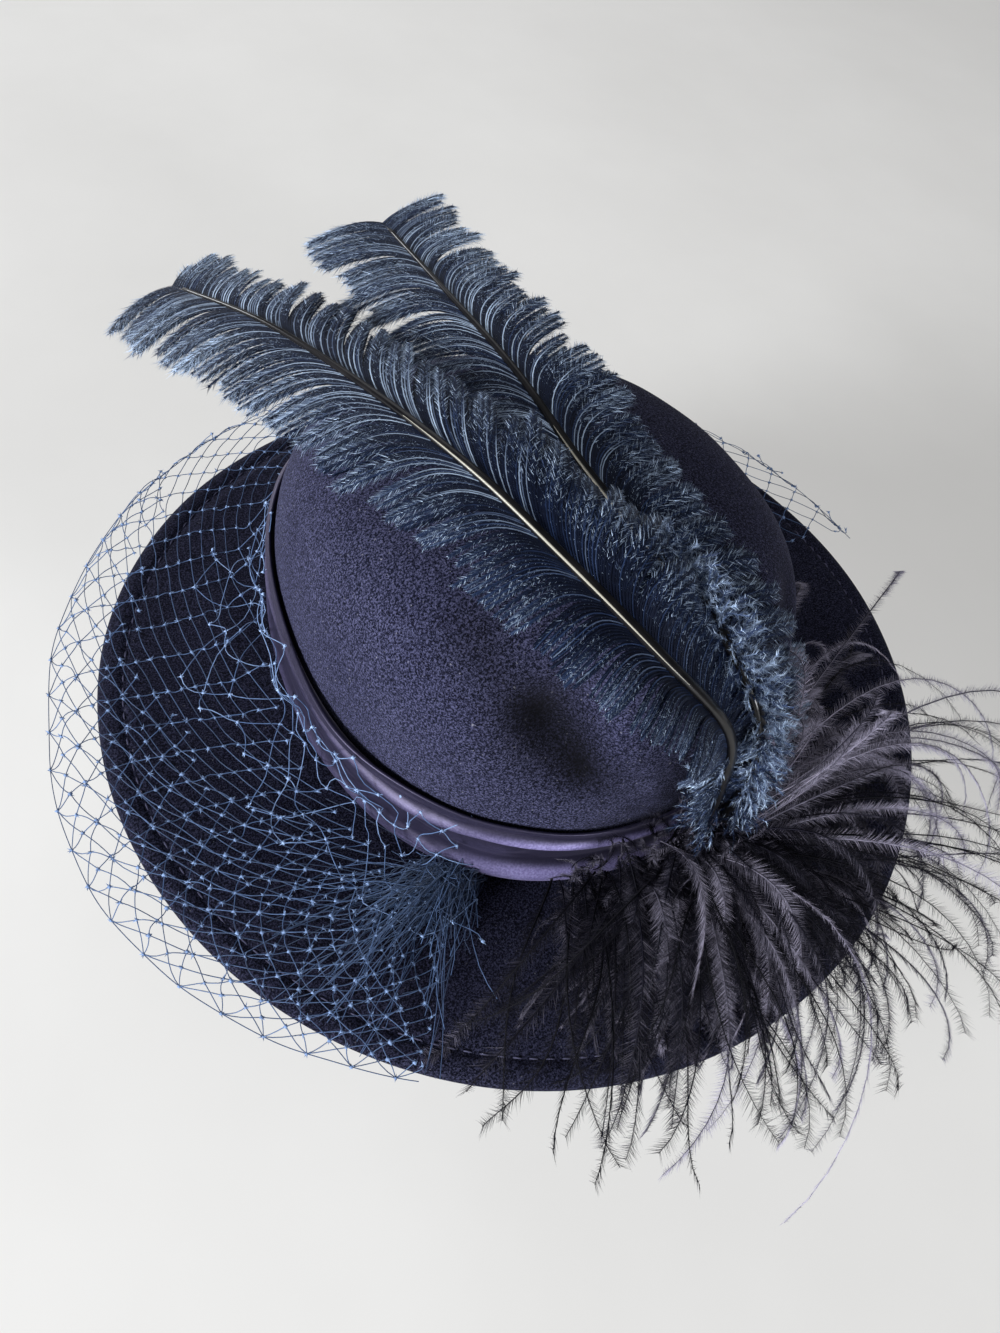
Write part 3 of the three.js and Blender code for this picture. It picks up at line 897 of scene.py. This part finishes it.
PLUMES = {
    "plume_front": {
        "seed": 41, "vane_from": 0.06, "quill_to": 0.98, "pale": (27, 64), "cut": {LEFT: -0.3, RIGHT: 0.5},
        "tufts": 210, "tufts_to": 0.15, "tufts_turn": (1.6, 1.6, -2.1),
        LEFT: table(
            SIDE_COLUMNS,
            (0.1, 19, 0.1, 0.6, 0.13, 0.3, 0.42),
            (0.35, 22, 0.12, 0.6, 0.13, 0.3, 0.42),
            (0.45, 24, 0.36, 0.6, 0.13, 0.3, 0.5),
            (0.6, 26, 0.2, 0.6, 0.13, 0.3, 0.95),
            (0.8, 26, 0.0, 0.6, 0.13, 0.3, 1.0),
            (1.0, 26, -0.36, 0.6, 0.16, 0.12, 1.0)),
        RIGHT: table(
            SIDE_COLUMNS,
            (0.1, 30, -0.7, 5.0, 0.13, 0.3, 0.9),
            (0.3, 32, -0.35, 6.0, 0.13, 0.3, 0.8),
            (0.42, 28, 0.4, 4.0, 0.13, 0.3, 0.7),
            (0.55, 20, 1.0, 1.2, 0.13, 0.3, 0.8),
            (0.75, 22, 0.7, 0.8, 0.08, 0.3, 0.9),
            (1.0, 21.5, 0.55, 0.8, 0.0, 0.08, 1.0)),
        "path": [(9, -116.4, 55.2), (7.5, -115, 78), (3, -109, 103), (-18.6, -94, 126), (-38.8, -66, 139.5),
                 (-52.9, -38.3, 144), (-69.2, -3, 142), (-85.3, 36.9, 133), (-100.9, 73.1, 119),
                 (-103.8, 79.8, 116.2)],
    },
    "plume_back": {
        "seed": 43, "vane_from": 0.1, "quill_to": 0.985, "pale": (43, 60), "cut": {LEFT: 0.05, RIGHT: 0.5},
        "tufts": 420, "tufts_to": 0.4, "tufts_turn": (1.5, 0.5, -0.4),
        LEFT: table(
            SIDE_COLUMNS,
            (0.1, 10, 0.0, 0.4, 0.13, 0.3, 0.8),
            (0.3, 14, 0.1, 0.4, 0.13, 0.3, 0.8),
            (0.42, 22, 0.34, 0.6, 0.13, 0.3, 0.7),
            (0.6, 25, 0.2, 0.8, 0.13, 0.3, 0.8),
            (0.8, 26, -0.08, 0.6, 0.13, 0.3, 1.0),
            (1.0, 26, -0.1, 0.6, 0.13, 0.15, 1.0)),
        RIGHT: table(
            SIDE_COLUMNS,
            (0.1, 26, -0.6, 1.0, 0.13, 0.3, 0.9),
            (0.3, 29, -0.45, 1.0, 0.13, 0.3, 0.9),
            (0.45, 29, 0.0, 0.8, 0.13, 0.3, 0.85),
            (0.6, 27, 0.4, 0.8, 0.13, 0.3, 0.9),
            (0.8, 26, 0.42, 0.8, 0.1, 0.3, 1.0),
            (1.0, 26, 0.5, 0.8, 0.0, 0.08, 1.0)),
        "path": [(18, -116.4, 55.3), (18, -114, 78), (16, -105, 101), (6, -84, 119), (-6.9, -57.3, 127.5),
                 (-14.4, -30.8, 131), (-20.5, 5.6, 134), (-27.6, 43.1, 133), (-31.8, 92.4, 125)],
    },
}


def plume_frames(path, count):
    """Points along a quill, and the directions ahead, sideways and up at each."""
    line = smooth_path(path, count)
    ahead = unit(np.gradient(line, axis=0))
    side = unit(stack(ahead[:, 1], -ahead[:, 0], 0 * ahead[:, 0]))
    return line, ahead, side, unit(np.cross(side, ahead))


def along_line(values, share):
    """Rows of values, read off at shares from 0 to 1."""
    place = np.linspace(0, 1, len(values))
    return np.stack([np.interp(share, place, values[:, k]) for k in range(values.shape[1])], -1)


def quill_radius(share):
    return mix(0.65, 2.2, 1 - share)


def barb_curve(barbs, t):
    """Across and onward: a barb leaves along the quill, then turns out and runs straight."""
    full, lean, lead = (values[:, None] for values in (barbs.full, barbs.lean, barbs.lead))
    return full * t, full * (lean * t + lead * (1 - (1 - t) ** 6))


def trimmed(barbs, slant, room):
    """The share of each barb that the slanted cut at the end leaves."""
    t = steps(60)
    across, onward = barb_curve(barbs, t)
    past = onward > room[:, None] + CUT_AHEAD + slant * across
    past[:, 0] = False
    return np.where(past.any(1), np.maximum(t[0, past.argmax(1)], 0.08), 1.0)


def vane_barbs(rng, spec, hand, length):
    """Places, locks, full reach, lean and uncut share of the barbs on one side."""
    start = spec["vane_from"]
    share = np.linspace(start - 0.07, 0.998, BARBS)
    rows = spec[hand]
    stops = [row["share"] for row in rows]
    barbs = SimpleNamespace(**{key: np.interp(share, stops, [row[key] for row in rows]) for key in rows[0]})
    barbs.share = share
    sizes = rng.integers(LOCK_SIZES[0], LOCK_SIZES[1] + 1, BARBS)
    barbs.lock = np.repeat(np.arange(BARBS), sizes)[:BARBS]
    centre = (np.bincount(barbs.lock, share) / np.maximum(np.bincount(barbs.lock), 1))[barbs.lock]
    barbs.centre = centre
    barbs.ridge = 1 - ((share - centre) * length / 2.6) ** 2
    ragged = 1 + 0.065 * rng.normal(size=BARBS)[barbs.lock] + 0.035 * rng.normal(size=BARBS)
    barbs.full = barbs.reach * ragged * smooth(start - 0.12, start + 0.1, share)
    barbs.lean = barbs.lean + 0.03 * rng.normal(size=BARBS)[barbs.lock] + 0.012 * rng.normal(size=BARBS)
    left = trimmed(barbs, spec["cut"][hand], (1 - share) * length)
    barbs.left = np.where(rng.uniform(size=BARBS) < 0.06, np.minimum(left * 1.6, 1), left)
    return barbs


def barb_lines(rng, barbs, frames, hand, t):
    """The barbs' lines, drawn together in locks, arched, and drooping at the tip."""
    drawn = mix(barbs.share[:, None], barbs.centre[:, None], 0.32 * t**3)
    base, ahead, side, up = (along_line(values, drawn) for values in frames)
    across, onward = barb_curve(barbs, t)
    stem = quill_radius(barbs.share)
    across = across + (0.9 * stem * smooth(1.0, 0.96, barbs.share))[:, None]
    raised = 0.4 * rng.normal(size=BARBS)[barbs.lock]
    lift = (0.7 * barbs.ridge + raised)[:, None] * t
    lift = lift + barbs.crest[:, None] * np.sin(np.pi * np.minimum(0.9 * t, 1))
    lift = lift - 0.5 * stem[:, None] - (barbs.droop * barbs.full)[:, None] * t**2
    return base + side * (hand * across)[..., None] + ahead * onward[..., None] + up * lift[..., None], up


def add_vane(soup, rng, spec, frames, hand):
    """Barbs on one side: ribbons with a lighter line over each that is a painted highlight, and barbules
    down both their edges.
    """
    length = np.linalg.norm(np.diff(frames[0], axis=0), axis=1).sum()
    barbs = vane_barbs(rng, spec, hand, length)
    share = barbs.share
    t = np.linspace(0, 1, 12) ** 1.25 * barbs.left[:, None]
    lines, up = barb_lines(rng, barbs, frames, hand, t)
    # The 0.14 * ridge term is painted light on each lock's crest and painted shade at its edges, between the
    # locks.
    shade = 0.22 + 0.1 * rng.normal(size=BARBS)[barbs.lock] + 0.14 * barbs.ridge
    brightness = mix(0.72, 1.0, smooth(0.4, 0.6, share)) * mix(1, 1.25, smooth(0.7, 0.9, share))
    shade = np.clip(shade * brightness, 0, 1)[:, None]
    combed = (1 - barbs.down)[:, None] * smooth(0.45, 0.95, t)
    add_ribbons(soup, lines, mix(1.3, 0.85, t), up, (0.1 + combed) * shade)
    # Painted highlight: a lighter ribbon just above each barb, strongest on some barbs and on the combed
    # ends; glossy sets its strength.
    glossy = np.where(rng.uniform(size=BARBS) < 0.5, rng.uniform(0.2, 1.0, BARBS), 0.06)
    glossy = glossy * mix(0.4, 1, smooth(0.4, 0.58, share)) * mix(0.3, 1, smooth(1.0, 0.93, share))
    painted_highlight = glossy[:, None] * mix(1.0, 0.3, smooth(0.25, 0.85, t))
    painted_highlight = painted_highlight + 0.7 * combed * rng.uniform(0.1, 1, (BARBS, 1))
    add_ribbons(soup, lines + 0.3 * up, mix(0.34, 0.22, t), up, painted_highlight)
    places = steps(104)
    thickness = mix(0.4, 4.0, smooth(0.12, 0.6, places)) * mix(1, 0.65, smooth(0.85, 1, places))
    reach = (barbs.down * barbs.full)[:, None] / 23 * thickness
    add_barbules(soup, rng, lines, up, shade * mix(0.6, 1.35, places), reach, **VANE_HAIRS)


def add_tufts(soup, rng, frames, spec):
    """Short tufts round the foot of the quill, and over it where they reach far up."""
    count = spec["tufts"]
    each = (count, 1)
    share = rng.uniform(0.0, spec["tufts_to"], count)
    base, ahead, side, up = (along_line(values, share)[:, None] for values in frames)
    turn = rng.choice(spec["tufts_turn"], each) + rng.uniform(-0.9, 0.9, each)
    heading = side * np.sin(turn)[..., None] + up * np.cos(turn)[..., None]
    t = steps(6)
    length = 10 * rng.uniform(0.5, 1.15, each)
    onward = length * t * rng.uniform(-0.6, 0.7, each)
    lines = base + heading * (length * t)[..., None] + ahead * onward[..., None]
    lines = lines + rng.normal(size=(count, 1, 3)) * 0.8 * np.sin(3 * t)[..., None]
    shade = np.clip(rng.normal(0.33, 0.12, count) * smooth(-0.05, 0.12, share), 0, 1)[:, None]
    facing = np.broadcast_to(np.cross(heading, ahead), lines.shape)
    add_ribbons(soup, lines, np.full((count, 6), 0.4), facing, shade + 0 * t)
    places = steps(30)
    reach = mix(1.0, 2.6, places) + np.zeros(each)
    add_barbules(soup, rng, lines, facing, shade * mix(0.6, 1.35, places), reach, **TUFT_HAIRS)


def add_quill(material, name, frames, spec):
    """A glossy quill, stout at the foot, with a pale line along its middle stretch: partly the quill's own
    pale edge, partly a painted highlight.
    """
    rows = int(spec["quill_to"] * len(frames[0]))
    line, _, side, up = (values[:rows] for values in frames)
    roll = np.arange(20) * TURN / 20
    radius = quill_radius(np.linspace(0, 1, rows))[:, None]
    groove = bell(roll - TURN / 4, 0.3)
    ring = side[:, None] * np.cos(roll)[:, None] + up[:, None] * 0.8 * np.sin(roll)[:, None]
    rings = line[:, None] + (radius * (1 - 0.1 * groove))[..., None] * ring
    soup = Soup()
    add_capped(soup, rings, line[[0, -1]], lambda points: 0.0)
    # The pale line: a thin cream tube, partly the quill's own edge and partly a painted highlight.
    first, last = (rows * percent // 100 for percent in spec["pale"])
    edge = (line + radius * (0.5 * up - 0.78 * side))[first:last]
    taper = 0.06 + 0.3 * np.sin(np.linspace(0.0, np.pi, last - first))
    add_tubes(soup, edge[None], taper, 1.0, 6)
    soup.piece(name, material, "plume")


def add_plume(name, feather, quill):
    spec = PLUMES[name]
    rng = np.random.default_rng(spec["seed"])
    frames = plume_frames(spec["path"], 90)
    vane = Soup()
    for hand in (LEFT, RIGHT):
        add_vane(vane, rng, spec, frames, hand)
    vane.piece(name + "_vane", feather, "plume", name)
    add_quill(quill, name + "_quill", frames, spec)
    tufts = Soup()
    add_tufts(tufts, rng, frames, spec)
    tufts.piece(name + "_tufts", feather, "plume")


# Spray of flues

# Locks of long flues: heading in degrees, reach, height of the arch, and height of the tip
SPRAY_LOCKS = table(
    "heading reach arch tip",
    (46, 168, 30, 14),
    (34, 196, 28, 10),
    (23, 190, 28, 8),
    (12, 172, 30, 6),
    (2, 180, 24, -12),
    (-8, 160, 26, 4),
    (-20, 150, 22, -18),
    (-34, 128, 20, -26),
    (-47, 112, 20, -14),
    (-58, 136, 22, -36),
    (-72, 96, 20, -30),
    (-84, 116, 22, -48),
    (-98, 118, 24, -44),
    (-112, 96, 20, -22),
    (-130, 62, 8, 9),
    (-148, 104, 20, -12))


def flue_lines(rng, heading, reach, arch, tip, stations=18):
    """Arching flues that leave the knot, bend over the brim and hang."""
    count = len(heading)
    each = (count, 1)
    t = steps(stations)
    heading, reach, arch, tip = (values[:, None] for values in (heading, reach, arch, tip))
    bend = (rng.normal(size=each) * 8 - 14 * smooth(-50, 20, heading)) * t**2
    sway = rng.normal(size=each) * 2.2 * np.sin(rng.uniform(3, 8, each) * t)
    turn = np.radians(heading + bend + sway)
    distance = reach * (1 - (1 - t) ** 1.2)
    height = mix(HUB[2], tip, t**2) + 4 * arch * t * (1 - t)
    spread = rng.normal(size=(count, 1, 3)) * HUB_SIZE * [0.3, 0.2, 0.35]
    trail = np.clip((-heading - 80) / 60, 0, 1)[..., None] * rng.uniform(0, 1, (count, 1, 1)) * [-44, 8, -22]
    lines = HUB + (spread + trail) * (1 - 0.7 * t[..., None])
    lines = lines + stack(distance * np.cos(turn), distance * np.sin(turn), height - HUB[2])
    return keep_above_brim(lines)


def keep_above_brim(lines):
    """Lifts what would sink into the brim or the band."""
    x = (lines[..., 0] - BRIM_X) / (BRIM_WIDTH + 4)
    y = (lines[..., 1] - BRIM_Y) / (BRIM_LENGTH + 4)
    out = np.hypot(x, y)
    edge = brim_edge(np.arctan2(y, x)) + 3.5
    floor = mix(3.0, edge, np.clip(out, 0, 1) ** BRIM_BEND) - 60 * smooth(1.0, 1.12, out)
    lines[..., 2] = np.maximum(lines[..., 2], floor)
    return lines


def add_flues(soup, rng, lines, shade, reach, places, rachis=0.3, paler=0.0):
    """Thin quills with soft barbules that twist slowly round them and may pale to the tip."""
    count, stations, _ = lines.shape
    each = (count, 1)
    taper = np.linspace(1, 0.25, stations)[None]
    shade = shade[:, None]
    add_tubes(soup, lines, rachis * taper, 1.15 * shade * taper, 3)
    width = 0.12 * reach * np.broadcast_to(taper, (count, stations))
    add_ribbons(soup, lines, width, UP, 0.35 * shade + 0 * width)
    along = unit(np.gradient(lines, axis=1))
    flat = unit(np.cross(along, UP))
    t = steps(stations)
    twist = rng.normal(size=each) * 0.35 + rng.normal(size=each) * 1.1 * t
    facing = np.cross(flat, along) * np.cos(twist)[..., None] + flat * np.sin(twist)[..., None]
    share = steps(places)
    length = reach * smooth(-0.05, 0.15, share) * mix(1, 0.72, share**1.5)
    length = length * rng.uniform(0.7, 1.1, each)
    tone = shade * mix(1.1, 0.85, share) + paler * smooth(0.5, 0.85, share)
    add_barbules(soup, rng, lines, facing, tone, length, **FLUE_HAIRS)


def add_long_flues(flue, rng):
    """Long flues in locks, some pale; a pale flue is partly the spray's own tone, and the larger share of
    them at the side and over the front of the brim is painted light.
    """
    locks = {key: np.repeat([float(row[key]) for row in SPRAY_LOCKS], LONG_FLUES) for key in SPRAY_LOCKS[0]}
    count = len(SPRAY_LOCKS) * LONG_FLUES
    heading = locks["heading"] + rng.normal(size=count) * 5
    stretch = rng.uniform(0, 1, count) ** 2.8
    reach = locks["reach"] * mix(0.46, 1.04, stretch)
    arch = locks["arch"] * rng.uniform(0.6, 1.25, count)
    tip = mix(locks["tip"], 12, rng.uniform(0, 0.5, count)) - 22 * rng.uniform(0, 1, count) ** 2
    # Painted light: the share of pale flues is raised at the side and over the front; a pale flue's colour
    # is partly its own tone.
    painted_light = 0.12 + 0.55 * smooth(-20, 0, heading) + 0.3 * window(heading, -128, -116, -62, -45)
    light = rng.uniform(size=count) < painted_light * mix(0.7, 1.5, smooth(0.2, 0.6, stretch))
    lines = flue_lines(rng, heading, reach, arch * np.where(light, 1.35, 0.9), tip)
    shade = np.where(light, rng.uniform(0.3, 0.64, count), rng.uniform(0.04, 0.2, count))
    aside = heading > SIDE_HEADING
    for name, chosen, node_name in (("side", aside, "feather_spray"), ("front", ~aside, None)):
        soup = Soup()
        add_flues(soup, rng, lines[chosen], shade[chosen], 5.6, 420, paler=0.15)
        soup.piece("spray_flues_" + name, flue, "flue", node_name)


def add_short_flues(flue, rng):
    """The thick dark under-layer round the knot."""
    count = len(SPRAY_LOCKS) * SHORT_FLUES
    heading = np.linspace(40, -150, count) + rng.normal(size=count) * 6
    reach = rng.uniform(30, 96, count) * (1 + 0.7 * smooth(-60, -10, heading))
    arch = rng.uniform(4, 16, count)
    tip = rng.uniform(2, 18, count)
    lines = flue_lines(rng, heading, reach, arch, tip, 14)
    soup = Soup()
    add_flues(soup, rng, lines, 0.25 * rng.uniform(0, 1, count) ** 2, 7.0, 200)
    soup.piece("spray_under", flue, "flue")


def add_upright_flues(flue):
    """A few flues that stand up beside the crown and curl over."""
    rng = np.random.default_rng(31)
    each = (UPRIGHT_FLUES, 1)
    t = steps(18)
    turn = np.radians(rng.uniform(5, 115, each))
    out = rng.uniform(16, 46, each) * t
    height = rng.uniform(38, 74, each) * np.sin(rng.uniform(1.5, 2.5, each) * t)
    aside = -6 * np.sin(3 * t) + 0.8 * out * np.sin(turn)
    lines = HUB + [12, -1, 2] + stack(out * np.cos(turn), aside, height)
    soup = Soup()
    add_flues(soup, rng, lines, rng.uniform(0.25, 0.75, UPRIGHT_FLUES), 5.0, 200)
    soup.piece("spray_upright", flue, "flue")


def add_fluff(flue):
    """Short curling down on the knot, round the quills and along the end of the band."""
    rng = np.random.default_rng(99)
    each = (DOWN_CURLS, 1, 1)
    t = steps(12)[..., None]
    spread = unit(rng.normal(size=(DOWN_CURLS, 1, 3)) + [0.1, -0.7, 0.25])
    start = HUB + spread * HUB_SIZE * 0.8
    start[DOWN_ON_KNOT:] += rng.uniform(0, 1, (DOWN_CURLS - DOWN_ON_KNOT, 1, 1)) * [-36, 7, -26]
    curl = rng.uniform(3, 8, each)
    turn = (rng.uniform(0, TURN, each) + t * rng.uniform(2, 5, each))[..., 0]
    swirl = stack(np.cos(turn), 0.4 * np.sin(turn), np.sin(turn)) * curl * t
    lines = start + spread * t * rng.uniform(5, 16, each) + swirl
    lines[..., 1] = np.minimum(lines[..., 1], -108.5)
    lines[..., 2] = np.maximum(lines[..., 2], 2.5)
    soup = Soup()
    add_flues(soup, rng, lines, rng.uniform(0.0, 0.35, DOWN_CURLS), 3.6, 60, 0.2)
    soup.piece("spray_fluff", flue, "flue")


def add_spray(flue):
    rng = np.random.default_rng(77)
    add_long_flues(flue, rng)
    add_short_flues(flue, rng)
    add_upright_flues(flue)
    add_fluff(flue)


# Stage

DAYLIGHT = (0.95, 0.97, 1.0)
WARM = (1.0, 0.98, 0.95)

# Soft square lights that face the object, in metres and watts
LIGHTS = table(
    "name azimuth elevation distance size energy color",
    ("window", -78, 18, 2.6, 0.9, 116, DAYLIGHT),
    ("low_front", 10, 16, 2.4, 0.45, 36, DAYLIGHT),
    ("ceiling", -120, 78, 1.5, 0.9, 1.0, WARM),
    ("back", 165, 40, 1.4, 0.7, 1.5, DAYLIGHT),
    ("low_back", 205, 14, 2.6, 0.7, 24, DAYLIGHT))


def add_stage():
    bpy.ops.mesh.primitive_plane_add(size=24.0, location=(0, 0, FLOOR_HEIGHT * MM))
    floor = bpy.context.object
    floor.name = "pale_floor"
    floor.data.materials.append(floor_material())
    floor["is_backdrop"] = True
    world = bpy.data.worlds.new("studio")
    world.use_nodes = True
    background = world.node_tree.nodes["Background"]
    background.inputs["Color"].default_value = (0.86, 0.89, 0.95, 1)
    background.inputs["Strength"].default_value = 0.06
    bpy.context.scene.world = world


def direction(azimuth, elevation):
    """Unit vector towards a viewer; azimuth 0 is the front, -Y."""
    a, e = math.radians(azimuth), math.radians(elevation)
    return Vector((math.sin(a) * math.cos(e), -math.cos(a) * math.cos(e), math.sin(e)))


def add_light(name, azimuth, elevation, distance, **values):
    data = bpy.data.lights.new(name, "AREA")
    for key, value in values.items():
        setattr(data, key, value)
    light = link(name, data)
    light.location = direction(azimuth, elevation) * distance
    light.rotation_euler = (-light.location).to_track_quat("-Z", "Y").to_euler()


def add_camera():
    back = direction(CAMERA["azimuth"], CAMERA["elevation"])
    right = (-back).cross(Vector((0, 0, 1))).normalized()
    place = (CAMERA_TARGET + back * CAMERA["distance"]) * MM
    level = Matrix((right, right.cross(-back), back)).transposed().to_4x4()
    data = bpy.data.cameras.new("camera")
    data.lens = CAMERA["lens"]
    data.sensor_width = 36
    data.clip_start = 0.01
    camera = link("camera", data)
    roll = Matrix.Rotation(math.radians(CAMERA["roll"]), 4, "Z")
    camera.matrix_world = Matrix.Translation(place) @ level @ roll
    bpy.context.scene.camera = camera


def write_sizes():
    boxes = {"cad": CAD_BOX, "visual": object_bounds()}
    {name: [list(low), list(high)] for name, (low, high) in boxes.items()}


felt = felt_material()
fibre = fibre_material()
satin = satin_material()
quill = quill_material()
net, feather, flue = (strand_material(**row) for row in STRANDS)

bpy.context.scene.view_settings.view_transform = "Standard"
add_camera()
for light_row in LIGHTS:
    add_light(**light_row)
add_stage()
crown = add_crown(felt)
brim = add_brim(felt)
add_stitches(fibre)
add_nap(fibre, "crown_nap", crown[:, ::-1], CROWN_FIBRES, 1)
add_nap(fibre, "brim_nap", brim[16:96, ::-1], BRIM_FIBRES, 2)
add_band(satin)
add_veil(net)
add_gather(net)
for plume_name in PLUMES:
    add_plume(plume_name, feather, quill)
add_spray(flue)
write_sizes()
